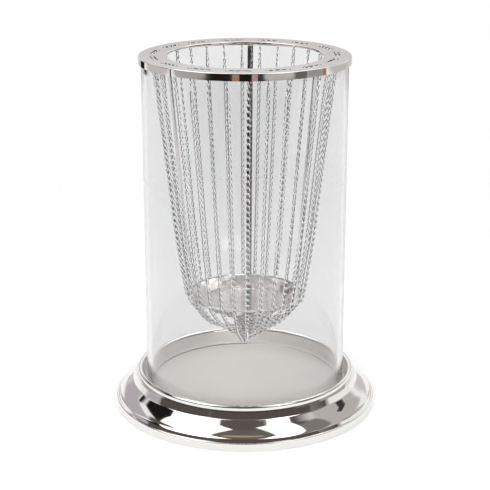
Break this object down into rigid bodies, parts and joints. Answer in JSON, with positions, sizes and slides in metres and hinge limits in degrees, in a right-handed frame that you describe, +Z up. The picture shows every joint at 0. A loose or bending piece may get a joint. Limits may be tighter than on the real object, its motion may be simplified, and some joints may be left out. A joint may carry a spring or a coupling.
{
  "type": "hanging candle holder",
  "caption": "Glass cylinder on a round plated base, with a ring on top that hangs a candle dish on straps inside a cage of laced chain.",
  "frame": {"origin": "middle of the base's underside, on the surface that the holder stands on", "axes": "+Z up along the glass cylinder's axis, +Y from the axis towards the back strap"},
  "size_m": [0.1674, 0.1674, 0.2255],
  "materials": {
    "polished_nickel": "mirror polished nickel plate",
    "satin_nickel": "satin nickel plate",
    "chain_nickel": "bright nickel plated wire",
    "clear_glass": "clear, polished edges",
    "base_board": "plain black board"
  },
  "bodies": {
    "root": {"base": "polished_nickel", "top_ring": "polished_nickel", "strap_back": "polished_nickel", "strap_left": "polished_nickel", "strap_right": "polished_nickel", "base_plate": "base_board", "glass_cylinder": "clear_glass", "candle_dish": "satin_nickel", "chain_01": "chain_nickel", "chain_02": "chain_nickel", "chain_03": "chain_nickel", "chain_04": "chain_nickel", "chain_05": "chain_nickel", "chain_06": "chain_nickel", "chain_07": "chain_nickel", "chain_08": "chain_nickel", "chain_09": "chain_nickel", "chain_10": "chain_nickel", "chain_11": "chain_nickel", "chain_12": "chain_nickel", "chain_13": "chain_nickel", "chain_14": "chain_nickel", "chain_15": "chain_nickel"}
  },
  "joints": []
}
